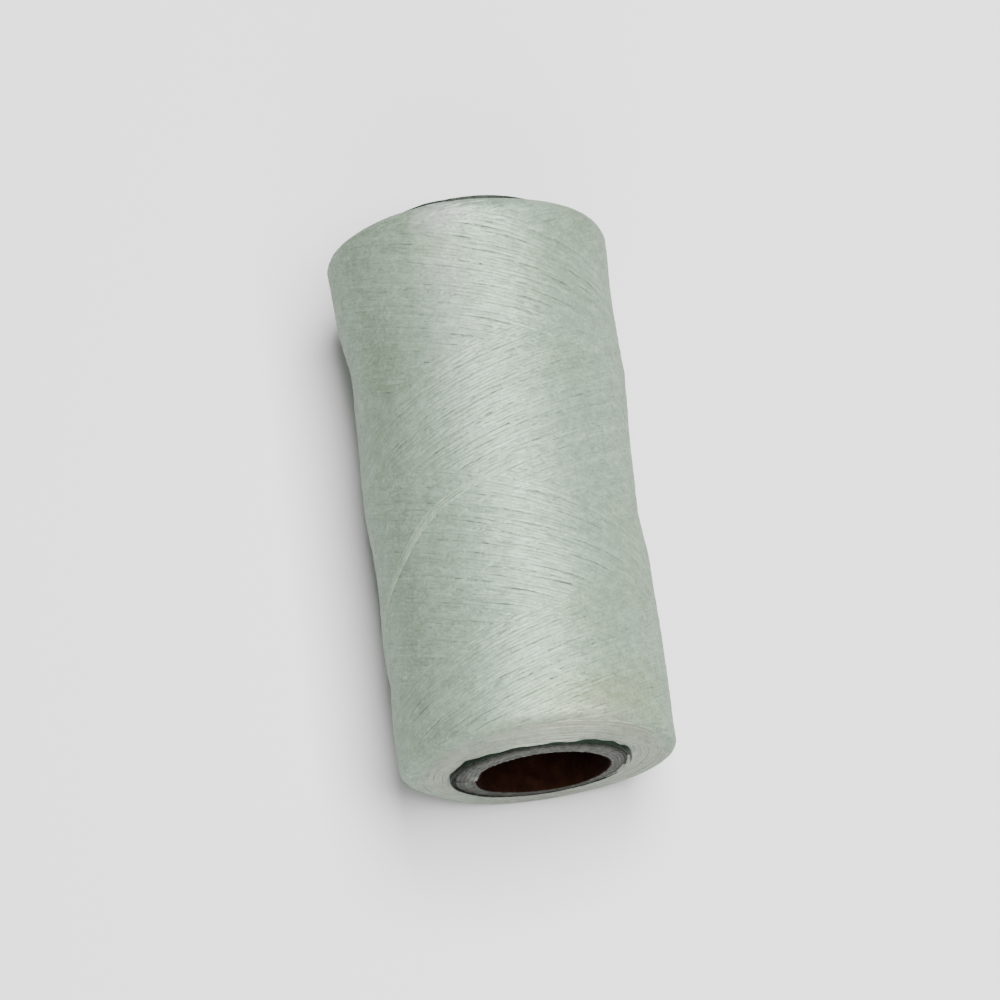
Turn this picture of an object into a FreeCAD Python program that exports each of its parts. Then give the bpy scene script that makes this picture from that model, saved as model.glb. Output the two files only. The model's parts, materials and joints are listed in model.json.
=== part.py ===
import FreeCAD, Part
import math
import os

import Sketcher

# A reel of fine flat thread, cross wound on a laminated paper tube, lying on
# its side.
#
# Row frame, in millimetres: the origin is the centre of the tube's bore at half
# the tube's length. +Y runs along the bore from the near end, which has the
# catch slit, to the far end. +Z is up. The reel lies on the flat that its own
# weight presses into the soft winding, at the lowest Z.

V = FreeCAD.Vector

doc = FreeCAD.newDocument("string_reel")

# ---------------------------------------------------------------- dimensions
sheet = doc.addObject("Spreadsheet::Sheet", "dims")
CELLS = [
    # paper tube
    ("bore_radius", 12.70, "bore of the tube, a 25.4 mm hole"),
    ("liner_thick", 0.35, "brown kraft liner"),
    ("ply_thick", 0.70, "one ply of grey board, six of them"),
    ("wrap_thick", 0.30, "dark green outer paper"),
    ("core_length", 111.60, "tube, end to end"),
    # catch slit and the torn corner beside it, at the near end
    ("slit_width", 0.80, "saw cut through the whole wall"),
    ("slit_length", 7.00, "depth of the cut from the near end"),
    ("torn_height", 3.00, "where liner and first ply have come away"),
    ("torn_depth", 2.20, "how far in from the near end"),
    # winding
    ("near_reveal", 0.77, "tube showing past the winding, near end"),
    ("far_reveal", 3.83, "tube showing past the winding, far end"),
    ("near_radius", 26.75, "winding at its near end"),
    ("far_radius", 27.55, "winding at its far end"),
    ("side_radius_1", 26.75, "winding's side, at side_place_1"),
    ("side_radius_2", 26.65, "at side_place_2"),
    ("side_radius_3", 26.10, "at side_place_3, the waist"),
    ("side_radius_4", 26.45, "at side_place_4"),
    ("side_radius_5", 26.62, "at side_place_5"),
    ("side_radius_6", 26.55, "at side_place_6"),
    ("side_radius_7", 27.15, "at side_place_7"),
    ("side_place_1", 40.00, "towards the near end from the middle"),
    ("side_place_2", 26.00, "towards the near end from the middle"),
    ("side_place_3", 10.00, "towards the near end from the middle"),
    ("side_place_4", 4.00, "towards the far end from the middle"),
    ("side_place_5", 19.00, "towards the far end from the middle"),
    ("side_place_6", 29.00, "towards the far end from the middle"),
    ("side_place_7", 40.00, "towards the far end from the middle"),
    ("near_shoulder", 3.00, "rounding of the near rim"),
    ("far_shoulder", 3.50, "rounding of the far rim"),
    ("rest_height", 26.45, "bore axis above the surface it lies on"),
    # thread
    ("thread_width", 1.10, "flat thread, across"),
    ("thread_thick", 0.34, "flat thread, through"),
    ("thread_clear", 0.05, "outer end above the winding"),
    ("inner_end_deep", 3.60, "inner end, how far it reaches into the slit"),
    ("inner_end_wide", 1.00, "inner end, along the tube"),
    ("inner_end_thick", 0.50, "inner end, pinched in the slit"),
    ("inner_end_place", 1.60, "inner end, from the near end of the tube"),
]
for row, (alias, value, note) in enumerate(CELLS, start=1):
    sheet.set("A%d" % row, alias)
    sheet.set("B%d" % row, "%g" % value)
    sheet.setAlias("B%d" % row, alias)
    sheet.set("C%d" % row, note)

# The route of the thread's outer end over the winding: angle about +Y from the
# top (+Z) towards +X, and place along the tube. The last stroke comes round the
# right side at the winding's own angle and slackens on the left.
TAIL = [
    ("a", -138.0, -44.5), ("b", -122.0, -39.2), ("c", -105.0, -33.6),
    ("d", -88.0, -27.8), ("e", -67.0, -20.2), ("f", -54.0, -15.9),
    ("g", -34.5, -9.1), ("i", -17.0, -5.6), ("j", -2.0, -3.1),
    ("k", 20.0, 0.5), ("l", 44.0, 3.8), ("n", 66.0, 7.2),
    ("o", 90.0, 11.0), ("p", 112.0, 14.4), ("q", 134.0, 17.8),
    ("r", 152.0, 20.6),
]
row = len(CELLS) + 1
for tag, angle, place in TAIL:
    for word, value in (("tail_angle_" + tag, angle), ("tail_place_" + tag, place)):
        sheet.set("A%d" % row, word)
        sheet.set("B%d" % row, "%g" % value)
        sheet.setAlias("B%d" % row, word)
        row += 1
doc.recompute()


def cell(alias):
    return float(sheet.get(alias))


# ------------------------------------------------------------------- helpers
def plane(body, role):
    for feature in body.Origin.OriginFeatures:
        if feature.Role == role:
            return feature
    raise RuntimeError("no plane " + role)


def new_body(label):
    body = doc.addObject("PartDesign::Body", label)
    body.Label = label
    return body


def new_sketch(body, name, role):
    sketch = body.newObject("Sketcher::SketchObject", name)
    sketch.AttachmentSupport = [(plane(body, role), "")]
    sketch.MapMode = "FlatFace"
    return sketch


def name_and_bind(sketch, index, name, expression):
    sketch.renameConstraint(index, name)
    sketch.setExpression("Constraints." + name, expression)


def ring_sketch(body, name, inner, outer, start_inner, start_outer):
    """Two circles about the bore axis, on the plane across the tube."""
    sketch = new_sketch(body, name, "XZ_Plane")
    for index, (radius, expression, word) in enumerate((
            (start_inner, inner, "inner"), (start_outer, outer, "outer"))):
        sketch.addGeometry(Part.Circle(V(0, 0, 0), V(0, 0, 1), radius), False)
        sketch.addConstraint(Sketcher.Constraint("Coincident", index, 3, -1, 1))
        number = sketch.addConstraint(Sketcher.Constraint("Radius", index, radius))
        name_and_bind(sketch, number, word + "_radius", expression)
    return sketch


def box_sketch(body, name, role, low, high, binds):
    """A rectangle whose four sides are placed from the sketch's origin.

    binds: expressions for the left, right, bottom and top side, each the
    distance from the origin, which is positive whichever side it is on.
    """
    sketch = new_sketch(body, name, role)
    (u0, v0), (u1, v1) = low, high
    points = [V(u0, v0, 0), V(u1, v0, 0), V(u1, v1, 0), V(u0, v1, 0)]
    for i in range(4):
        sketch.addGeometry(Part.LineSegment(points[i], points[(i + 1) % 4]), False)
    for i in range(4):
        sketch.addConstraint(Sketcher.Constraint("Coincident", i, 2, (i + 1) % 4, 1))
    sketch.addConstraint(Sketcher.Constraint("Horizontal", 0))
    sketch.addConstraint(Sketcher.Constraint("Horizontal", 2))
    sketch.addConstraint(Sketcher.Constraint("Vertical", 1))
    sketch.addConstraint(Sketcher.Constraint("Vertical", 3))
    for word, kind, line, point, value in (
            ("left", "DistanceX", 0, 1, u0), ("right", "DistanceX", 1, 1, u1),
            ("bottom", "DistanceY", 0, 1, v0), ("top", "DistanceY", 2, 1, v1)):
        if value >= 0:
            rule = Sketcher.Constraint(kind, -1, 1, line, point, abs(value))
        else:
            rule = Sketcher.Constraint(kind, line, point, -1, 1, abs(value))
        number = sketch.addConstraint(rule)
        name_and_bind(sketch, number, word, binds[word])
    return sketch


def pad_symmetric(body, name, sketch, expression):
    pad = body.newObject("PartDesign::Pad", name)
    pad.Profile = sketch
    pad.SideType = "Symmetric"
    pad.setExpression("Length", expression)
    return pad


def pocket(body, name, sketch, expression, symmetric=False):
    feature = body.newObject("PartDesign::Pocket", name)
    feature.Profile = sketch
    feature.SideType = "Symmetric" if symmetric else "One side"
    feature.setExpression("Length", expression)
    return feature


def must_have_cut(body, before, about):
    """A pocket that points away from the solid cuts nothing and says nothing."""
    taken = before - body.Shape.Volume
    if not 0.5 * about < taken < 1.6 * about:
        raise RuntimeError("%s: cut %.2f mm3, expected about %.2f"
                           % (body.Label, taken, about))


HALF = "dims.core_length / 2"
LINER = "dims.bore_radius + dims.liner_thick"
BOARD = LINER + " + 6 * dims.ply_thick"
CORE_R = BOARD + " + dims.wrap_thick"

bore = cell("bore_radius")
liner = cell("liner_thick")
ply = cell("ply_thick")
half = cell("core_length") / 2
slit_w = cell("slit_width")
slit_l = cell("slit_length")
core_r = bore + liner + 6 * ply + cell("wrap_thick")

parts = []

# -------------------------------------------------------------- paper tube
# Eight strips of paper and board, each wound on the last and glued. Every one
# runs the whole length of the tube, and the catch slit goes through them all.
layers = [("core_inner_liner", "dims.bore_radius", LINER, bore, bore + liner)]
for i in range(6):
    layers.append(("core_board_ply_%d" % (i + 1),
                   LINER + " + %d * dims.ply_thick" % i,
                   LINER + " + %d * dims.ply_thick" % (i + 1),
                   bore + liner + i * ply, bore + liner + (i + 1) * ply))
layers.append(("core_outer_wrap", BOARD, CORE_R,
               bore + liner + 6 * ply, core_r))

for label, inner, outer, r0, r1 in layers:
    body = new_body(label)
    rings = ring_sketch(body, label + "_rings", inner, outer, r0, r1)
    pad_symmetric(body, label + "_length", rings, "dims.core_length")
    doc.recompute()
    volume = body.Shape.Volume

    # the catch slit: a saw cut into the near end, on the left of the tube
    cut = box_sketch(body, label + "_slit_shape", "YZ_Plane",
                     (-half - 1, -slit_w / 2), (-half + slit_l, slit_w / 2),
                     {"left": HALF + " + 1", "right": HALF + " - dims.slit_length",
                      "bottom": "dims.slit_width / 2", "top": "dims.slit_width / 2"})
    pocket(body, label + "_slit", cut, CORE_R + " + 1")
    doc.recompute()
    must_have_cut(body, volume, (r1 - r0) * slit_w * slit_l)

    if label in ("core_inner_liner", "core_board_ply_1"):
        # under the slit the two innermost layers have torn away at the rim
        volume = body.Shape.Volume
        torn = box_sketch(body, label + "_torn_shape", "YZ_Plane",
                          (-half - 1, -slit_w / 2 - cell("torn_height")),
                          (-half + cell("torn_depth"), 0.0),
                          {"left": HALF + " + 1",
                           "right": HALF + " - dims.torn_depth",
                           "bottom": "dims.slit_width / 2 + dims.torn_height",
                           "top": "0"})
        pocket(body, label + "_torn", torn, CORE_R + " + 1")
        doc.recompute()
        must_have_cut(body, volume,
                      (r1 - r0) * cell("torn_height") * cell("torn_depth"))
    parts.append(body)

# ----------------------------------------------------------------- winding
# One closed solid with the winding's true outer shape: a slight waist, a
# rounded rim at each end, and the flat that it lies on. It is one thread all
# through, so it has no inner division.
y_near = -half + cell("near_reveal")
y_far = half - cell("far_reveal")
near_r = cell("near_radius")
far_r = cell("far_radius")

# the winding's side: places along the tube and the radius at each
STATIONS = 7
side = [(y_near, near_r)]
for i in range(1, STATIONS + 1):
    sign = -1 if i <= 3 else 1
    side.append((sign * cell("side_place_%d" % i), cell("side_radius_%d" % i)))
side.append((y_far, far_r))


def winding_radius(y):
    """Radius of the winding's side at a place along the tube."""
    for (ya, ra), (yb, rb) in zip(side, side[1:]):
        if y <= yb:
            return ra + (rb - ra) * (y - ya) / (yb - ya)
    return side[-1][1]


body = new_body("thread_winding")
profile = new_sketch(body, "winding_profile", "YZ_Plane")
outline = [V(y_near, core_r, 0)] + [V(y, r, 0) for y, r in side] + [V(y_far, core_r, 0)]
count = len(outline)
for i in range(count):
    profile.addGeometry(Part.LineSegment(outline[i], outline[(i + 1) % count]), False)
for i in range(count):
    profile.addConstraint(Sketcher.Constraint("Coincident", i, 2, (i + 1) % count, 1))
profile.addConstraint(Sketcher.Constraint("Vertical", 0))                # near face
profile.addConstraint(Sketcher.Constraint("Vertical", count - 2))        # far face
profile.addConstraint(Sketcher.Constraint("Horizontal", count - 1))      # on the tube
rules = [
    ("near_place", Sketcher.Constraint("DistanceX", 0, 1, -1, 1, -y_near),
     HALF + " - dims.near_reveal"),
    ("far_place", Sketcher.Constraint("DistanceX", -1, 1, count - 1, 1, y_far),
     HALF + " - dims.far_reveal"),
    ("tube_radius", Sketcher.Constraint("DistanceY", -1, 1, 0, 1, core_r), CORE_R),
    ("near_rim", Sketcher.Constraint("DistanceY", -1, 1, 1, 1, near_r),
     "dims.near_radius"),
    ("far_rim", Sketcher.Constraint("DistanceY", -1, 1, count - 2, 1, far_r),
     "dims.far_radius"),
]
for i in range(1, STATIONS + 1):
    y, r = side[i]
    line = i + 1                      # the side's line that starts at this station
    if y < 0:
        place_rule = Sketcher.Constraint("DistanceX", line, 1, -1, 1, -y)
    else:
        place_rule = Sketcher.Constraint("DistanceX", -1, 1, line, 1, y)
    rules.append(("place_%d" % i, place_rule, "dims.side_place_%d" % i))
    rules.append(("radius_%d" % i, Sketcher.Constraint("DistanceY", -1, 1, line, 1, r),
                  "dims.side_radius_%d" % i))
for word, rule, expression in rules:
    name_and_bind(profile, profile.addConstraint(rule), word, expression)

turned = body.newObject("PartDesign::Revolution", "winding_turned")
turned.Profile = profile
turned.ReferenceAxis = (profile, ["H_Axis"])
turned.Angle = 360.0
doc.recompute()


def rim_edge(feature, place, radius):
    """Name of the circular edge about the bore axis at a place and radius."""
    for number, edge in enumerate(feature.Shape.Edges, start=1):
        if edge.Curve.TypeId != "Part::GeomCircle":
            continue
        circle = edge.Curve
        if (abs(circle.Center.y - place) < 1e-3 and abs(circle.Radius - radius) < 1e-3
                and abs(circle.Axis.y) > 0.999):
            return "Edge%d" % number
    raise RuntimeError("no rim edge at %g" % place)


near_round = body.newObject("PartDesign::Fillet", "near_shoulder_round")
near_round.Base = (turned, [rim_edge(turned, y_near, near_r)])
near_round.setExpression("Radius", "dims.near_shoulder")
doc.recompute()
far_round = body.newObject("PartDesign::Fillet", "far_shoulder_round")
far_round.Base = (near_round, [rim_edge(near_round, y_far, far_r)])
far_round.setExpression("Radius", "dims.far_shoulder")
doc.recompute()
volume = body.Shape.Volume

rest = cell("rest_height")
under = box_sketch(body, "rest_flat_shape", "XZ_Plane",
                   (-20.0, -far_r - 3), (20.0, -rest),
                   {"left": "20", "right": "20",
                    "bottom": "dims.far_radius + 3", "top": "dims.rest_height"})
pocket(body, "rest_flat", under, "2 * dims.core_length", symmetric=True)
doc.recompute()
if not 20.0 < volume - body.Shape.Volume < 600.0:
    raise RuntimeError("the rest flat cut %.1f mm3" % (volume - body.Shape.Volume))
parts.append(body)

# ------------------------------------------------------- thread's outer end
# A flat thread laid over the winding: a loft through rectangular sections
# square to the route, each resting on the winding's side.
width = cell("thread_width")
thick = cell("thread_thick")
clear = cell("thread_clear")
stops = [(cell("tail_angle_" + tag), cell("tail_place_" + tag)) for tag, _, _ in TAIL]
route = [stops[0]]
for (a0, y0), (a1, y1) in zip(stops, stops[1:]):
    route.append(((a0 + a1) / 2, (y0 + y1) / 2))
    route.append((a1, y1))


def on_winding(angle, place, lift):
    a = math.radians(angle)
    radius = winding_radius(place) + lift
    return V(radius * math.sin(a), place, radius * math.cos(a))


sections = []
for i, (angle, place) in enumerate(route):
    before = on_winding(*route[max(i - 1, 0)], 0.0)
    after = on_winding(*route[min(i + 1, len(route) - 1)], 0.0)
    here = on_winding(angle, place, clear)
    out = V(math.sin(math.radians(angle)), 0, math.cos(math.radians(angle)))
    along = after - before
    along = (along - out * along.dot(out)).normalize()
    across = out.cross(along).normalize()
    corners = [here + across * (-width / 2), here + across * (width / 2),
               here + across * (width / 2) + out * thick,
               here + across * (-width / 2) + out * thick]
    sections.append(Part.makePolygon(corners + [corners[0]]))
outer_end = doc.addObject("Part::Feature", "thread_outer_end")
outer_end.Label = "thread_outer_end"
outer_end.Shape = Part.makeLoft(sections, True, False)
outer_end.Placement = FreeCAD.Placement()
parts.append(outer_end)

# ------------------------------------------------------- thread's inner end
# The thread starts pinched in the slit and passes up under the first layer.
body = new_body("thread_inner_end")
deep = cell("inner_end_deep")
place = cell("inner_end_place")
strip = box_sketch(body, "inner_end_shape", "XZ_Plane",
                   (-core_r, -cell("inner_end_thick") / 2),
                   (-core_r + deep, cell("inner_end_thick") / 2),
                   {"left": CORE_R, "right": CORE_R + " - dims.inner_end_deep",
                    "bottom": "dims.inner_end_thick / 2",
                    "top": "dims.inner_end_thick / 2"})
strip.AttachmentOffset = FreeCAD.Placement(V(0, 0, half - place), FreeCAD.Rotation())
strip.setExpression("AttachmentOffset.Base.z", HALF + " - dims.inner_end_place")
pad_symmetric(body, "inner_end_width", strip, "dims.inner_end_wide")
parts.append(body)

# --------------------------------------------------------- check and write
doc.recompute()
for item in doc.Objects:
    for flag in item.State:
        if flag in ("Invalid", "Error"):
            raise RuntimeError("%s is in state %s" % (item.Name, flag))

os.makedirs("parts", exist_ok=True)
for item in parts:
    shape = item.Shape
    if shape.isNull() or not shape.isValid() or len(shape.Solids) != 1:
        raise RuntimeError("%s has no single valid solid" % item.Label)
for item in parts:
    shape = item.Shape
    box = shape.BoundBox
    shape.exportStep("parts/%s.step" % item.Label)
    print("%-20s %10.2f mm3  x %7.2f %7.2f  y %7.2f %7.2f  z %7.2f %7.2f"
          % (item.Label, shape.Volume, box.XMin, box.XMax, box.YMin, box.YMax,
             box.ZMin, box.ZMax))

tail = doc.getObject("thread_outer_end").Shape
length = sum((on_winding(*route[i + 1], thick / 2) - on_winding(*route[i], thick / 2)).Length
             for i in range(len(route) - 1))
print("outer end: %.1f mm along its route, volume %.2f mm3 against %.2f"
      % (length, tail.Volume, length * width * thick))
print("outer end over the winding's side:",
      "%.4f mm3 shared" % tail.common(doc.getObject("thread_winding").Shape).Volume)
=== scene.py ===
import json
import math

import bpy
import numpy as np
from mathutils import Matrix, Vector


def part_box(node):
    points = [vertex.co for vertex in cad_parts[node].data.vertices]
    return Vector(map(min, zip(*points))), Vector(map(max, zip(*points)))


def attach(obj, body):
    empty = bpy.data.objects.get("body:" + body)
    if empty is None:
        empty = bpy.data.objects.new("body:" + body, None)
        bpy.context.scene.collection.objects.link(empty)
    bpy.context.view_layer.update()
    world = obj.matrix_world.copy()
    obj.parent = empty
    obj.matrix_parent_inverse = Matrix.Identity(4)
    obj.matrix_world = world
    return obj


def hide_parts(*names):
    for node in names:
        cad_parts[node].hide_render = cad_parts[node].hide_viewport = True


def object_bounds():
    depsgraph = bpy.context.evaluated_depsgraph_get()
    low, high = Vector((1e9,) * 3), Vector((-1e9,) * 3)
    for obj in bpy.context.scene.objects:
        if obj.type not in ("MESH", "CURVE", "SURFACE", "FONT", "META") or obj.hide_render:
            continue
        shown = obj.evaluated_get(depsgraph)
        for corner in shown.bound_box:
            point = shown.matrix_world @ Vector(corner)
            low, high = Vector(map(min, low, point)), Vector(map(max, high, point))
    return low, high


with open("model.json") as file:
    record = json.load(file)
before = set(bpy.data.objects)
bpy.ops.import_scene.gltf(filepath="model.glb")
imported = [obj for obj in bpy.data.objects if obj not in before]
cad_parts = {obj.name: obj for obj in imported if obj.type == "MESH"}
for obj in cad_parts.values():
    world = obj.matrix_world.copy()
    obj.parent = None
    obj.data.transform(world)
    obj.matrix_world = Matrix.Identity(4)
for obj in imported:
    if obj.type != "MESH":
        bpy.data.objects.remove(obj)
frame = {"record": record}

CAD_LOW, CAD_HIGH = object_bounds()
MM = 0.001

# ------------------------------------------------------------------ the frame
# Millimetres from here on, until a mesh is made. Angles are in degrees about +Y,
# from the top (+Z) towards +X.
core_low, core_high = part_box("core_outer_wrap")
liner_low, liner_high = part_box("core_inner_liner")
wind_low, wind_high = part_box("thread_winding")
BORE_R = 12.7
for mount in frame["record"]["mounts"]:
    if mount["name"] == "spindle_bore":
        BORE_R = mount["dims"]["r_mm"]
CORE_R = core_high.z / MM
Y_LOW, Y_HIGH = core_low.y / MM, core_high.y / MM
W_LOW, W_HIGH = wind_low.y / MM, wind_high.y / MM
REST = -wind_low.z / MM
LINER_R = liner_high.z / MM
PLY_R = [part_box("core_board_ply_%d" % (i + 1))[1].z / MM for i in range(6)]

rng = np.random.default_rng(20)


def wave(seed, low, high, terms):
    """A smooth periodic wobble of an angle in degrees, about -1 to 1."""
    r = np.random.default_rng(seed)
    n = r.integers(low, high + 1, terms)
    a = r.normal(0, 1, terms)
    p = r.uniform(0, 2 * np.pi, terms)
    a = a / np.sqrt((a ** 2).sum() / 2) * 0.5

    def at(theta):
        t = np.radians(np.asarray(theta, float))[..., None]
        return (a * np.sin(n * t + p)).sum(-1)
    return at


def drift(seed, span, terms):
    """A smooth wobble of a length, with waves of about span, about -1 to 1."""
    r = np.random.default_rng(seed)
    k = 2 * np.pi / (span * r.uniform(0.6, 1.7, terms))
    a = r.normal(0, 1, terms)
    p = r.uniform(0, 2 * np.pi, terms)
    a = a / np.sqrt((a ** 2).sum() / 2) * 0.5

    def at(x):
        return (a * np.sin(k * np.asarray(x, float)[..., None] + p)).sum(-1)
    return at


# ---------------------------------------------------------- the winding's skin
# Radius of the winding along its left and right sides. It is waisted, and where
# the last layers overlap it has ridges that climb round it like a slow screw.
LEFT = np.array([
    (-60, 26.95), (-50, 26.95), (-44, 27.10), (-39.7, 26.80), (-35.6, 26.38),
    (-31.6, 26.66), (-27.5, 26.72), (-23.5, 26.56), (-19.4, 26.28), (-15.4, 26.12),
    (-11.3, 26.12), (-7.2, 26.24), (-3.1, 26.54), (1.0, 26.62), (5.2, 26.50),
    (9.3, 26.34), (13.4, 26.18), (17.6, 26.02), (21.7, 25.84), (25.9, 25.58),
    (30.1, 25.66), (34.2, 26.35), (38.4, 26.93), (42.6, 27.08), (46.9, 27.27),
    (52, 27.50), (60, 27.50)])
RIGHT = np.array([
    (-60, 26.45), (-48, 26.45), (-44, 26.58), (-40, 26.65), (-32, 26.70),
    (-27.8, 26.66), (-23.8, 26.58), (-19.7, 26.60), (-15.6, 26.66), (-11.5, 26.24),
    (-7.4, 25.92), (-3.3, 26.04), (0.8, 26.22), (4.9, 26.34), (9.1, 26.54),
    (13.2, 26.88), (17.4, 27.14), (21.5, 27.42), (25.7, 27.22), (29.9, 27.14),
    (34.1, 27.06), (38.3, 27.20), (42.5, 27.42), (46.7, 27.66), (52, 27.80),
    (60, 27.80)])
RIDGE = 38.0          # how far along the tube a ridge climbs in one turn


def side_radius(theta, y):
    """Outer radius of the winding at an angle and a place along the tube."""
    t = (np.asarray(theta, float) + 90.0) % 360.0       # 0 left, 90 top, 180 right
    y = np.asarray(y, float)
    front = t <= 180.0
    lean = np.where(front, 0.5 - 0.5 * np.cos(np.radians(t)),
                    0.5 - 0.5 * np.cos(np.radians(t)))
    from_left = np.where(front, t, t - 360.0)
    from_right = t - 180.0
    left = np.interp(y - RIDGE * from_left / 360.0 * 1.0, LEFT[:, 0], LEFT[:, 1])
    right = np.interp(y - RIDGE * from_right / 360.0, RIGHT[:, 0], RIGHT[:, 1])
    return left * (1 - lean) + right * lean


def from_top(theta):
    return (np.asarray(theta, float) + 180.0) % 360.0 - 180.0


def near_round(theta):
    """Radius of the near rim: tight on the right, slumped at the lower left."""
    t = from_top(theta)
    return (2.6 - 0.95 * np.clip(np.sin(np.radians(t)), 0, 1) ** 2 - 0.1 * np.exp(-(t / 48.0) ** 4)
            + 2.3 * np.exp(-((t + 122.0) / 26.0) ** 2))


def near_lean(theta):
    """How far, in radians, the near face leans back at its top."""
    return math.radians(10.5) * np.exp(-(from_top(theta) / 64.0) ** 4)


def near_start(theta):
    """Where the side ends and the near rim begins."""
    rn, b = near_round(theta), near_lean(theta)
    r = side_radius(theta, W_LOW + 4.0)
    return W_LOW + rn * np.cos(b) + np.tan(b) * (r - rn * (1 - np.sin(b)) - CORE_R)


def near_edge(theta):
    """The s at which the near rim ends and the near face begins."""
    return near_start(theta) - near_round(theta) * (np.pi / 2 - near_lean(theta))


def far_round(theta):
    return 3.1 + 0.8 * np.sin(np.radians(theta)) - 0.5 * np.exp(-((from_top(theta) + 25.0) / 30.0) ** 2)


def w_high(theta):
    """Place of the far end face, which swells a little at the upper left."""
    t = from_top(theta)
    return (W_HIGH + 0.06 + 0.36 * np.exp(-((t + 20.0) / 24.0) ** 2)
            - 0.12 * np.exp(-((t + 25.0) / 9.0) ** 2) + 0.11 * np.exp(-((t - 8.0) / 14.0) ** 2))


# how far the near face sinks beside the tube; where it is negative the first
# layers have slipped out over the tube's edge
NEAR_DISH = np.array([
    (-88, 0.00), (-78, 0.00), (-72, -0.17), (-62, -0.12), (-55, 0.35), (-49, 0.08),
    (-43, -0.16), (-38, -0.25), (-33, -0.28), (-29, -0.44), (-25, -0.45), (-21, -0.46),
    (-17, -0.48), (-13, -0.47), (-9, -0.58), (-5, -0.60), (-1, -0.66), (3, -0.80),
    (7, -0.65), (11, -0.82), (15, -0.95), (19, -0.74), (23, -0.58), (27, -0.32),
    (31, -0.20), (36, -0.04), (41, -0.26), (46, -0.04), (52, 0.18), (59, -0.16),
    (67, 0.33), (80, 0.45), (88, 0.10)])
dish_wave = wave(211, 7, 26, 9)


def slipped(theta):
    """Where, low on the right, the first layers lie over the tube's near end."""
    return np.exp(-((from_top(theta) - 109.0) / 31.0) ** 2)


sink_wave = wave(212, 1, 4, 4)


def dish(theta, near):
    """How far the end face sinks beside the tube."""
    theta = from_top(theta)
    if near:
        top = np.interp(theta, NEAR_DISH[:, 0], NEAR_DISH[:, 1]) + 0.05 * dish_wave(theta * 1.7)
        rest = np.clip(0.12 + 0.14 * dish_wave(theta) + 0.06 * sink_wave(theta), 0.0, 1.0)
        return np.where(np.abs(theta) < 88.0, top, rest) - 1.05 * slipped(theta)
    return np.clip(0.15 + 0.15 * dish_wave(theta + 77.0), 0.0, 1.0)


def skin(theta, s, lift):
    """A point on the winding, lift above its skin.

    s runs along the winding from end face to end face: it is the place along
    the tube on the side, then goes on round each rim and down the end face.
    """
    theta, s, lift = np.broadcast_arrays(*(np.asarray(v, float) for v in (theta, s, lift)))
    rn, rf = near_round(theta), far_round(theta)
    a, b = near_start(theta), w_high(theta) - rf
    lean = near_lean(theta)
    y = np.clip(s, a, b)
    r = side_radius(theta, y)
    # near rim, then near face
    past = np.clip(a - s, 0, None)
    turn = np.clip(past / rn, 0, np.pi / 2 - lean)
    down = np.clip(past - rn * (np.pi / 2 - lean), 0, None)
    # far rim, then far face
    past2 = np.clip(s - b, 0, None)
    turn2 = np.clip(past2 / rf, 0, np.pi / 2)
    down2 = np.clip(past2 - rf * np.pi / 2, 0, None)
    ry = y - (rn + lift) * np.sin(turn) + (rf + lift) * np.sin(turn2) - down * np.sin(lean)
    rr = (r - (rn * (1 - np.cos(turn))) - (rf * (1 - np.cos(turn2)))
          + lift * np.cos(turn + turn2) - down * np.cos(lean) - down2)
    fall = np.exp(-np.clip(rr - CORE_R, 0, None) / 0.75)
    ry = ry + np.where(down > 0, dish(theta, True) * fall, 0) - np.where(
        down2 > 0, dish(theta, False) * fall, 0)
    t = np.radians(theta)
    x, z = rr * np.sin(t), rr * np.cos(t)
    # the soft underside is pressed flat where the reel lies
    soft = REST - 0.68
    over = -z - soft
    z = np.where(over > 0, -(soft + 0.60 * (1 - np.exp(-np.clip(over, 0, None) / 0.60))), z)
    return np.stack([x, ry, z], -1)


def face_s(theta, radius, near):
    """The s of a point on an end face at that distance from the bore's axis."""
    rn, rf = near_round(theta), far_round(theta)
    if near:
        a, lean = near_start(theta), near_lean(theta)
        return near_edge(theta) - (side_radius(theta, a) - rn * (1 - np.sin(lean)) - radius) / np.cos(lean)
    b = w_high(theta) - rf
    return b + rf * np.pi / 2 + (side_radius(theta, b) - rf - radius)


def normals(theta, s):
    e = 0.02
    dt = e / 26.0 * 57.2958
    u = skin(theta + dt, s, 0) - skin(theta - dt, s, 0)
    v = skin(theta, s + e, 0) - skin(theta, s - e, 0)
    n = np.cross(v, u)
    return n / np.maximum(np.linalg.norm(n, axis=-1, keepdims=True), 1e-12)


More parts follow.
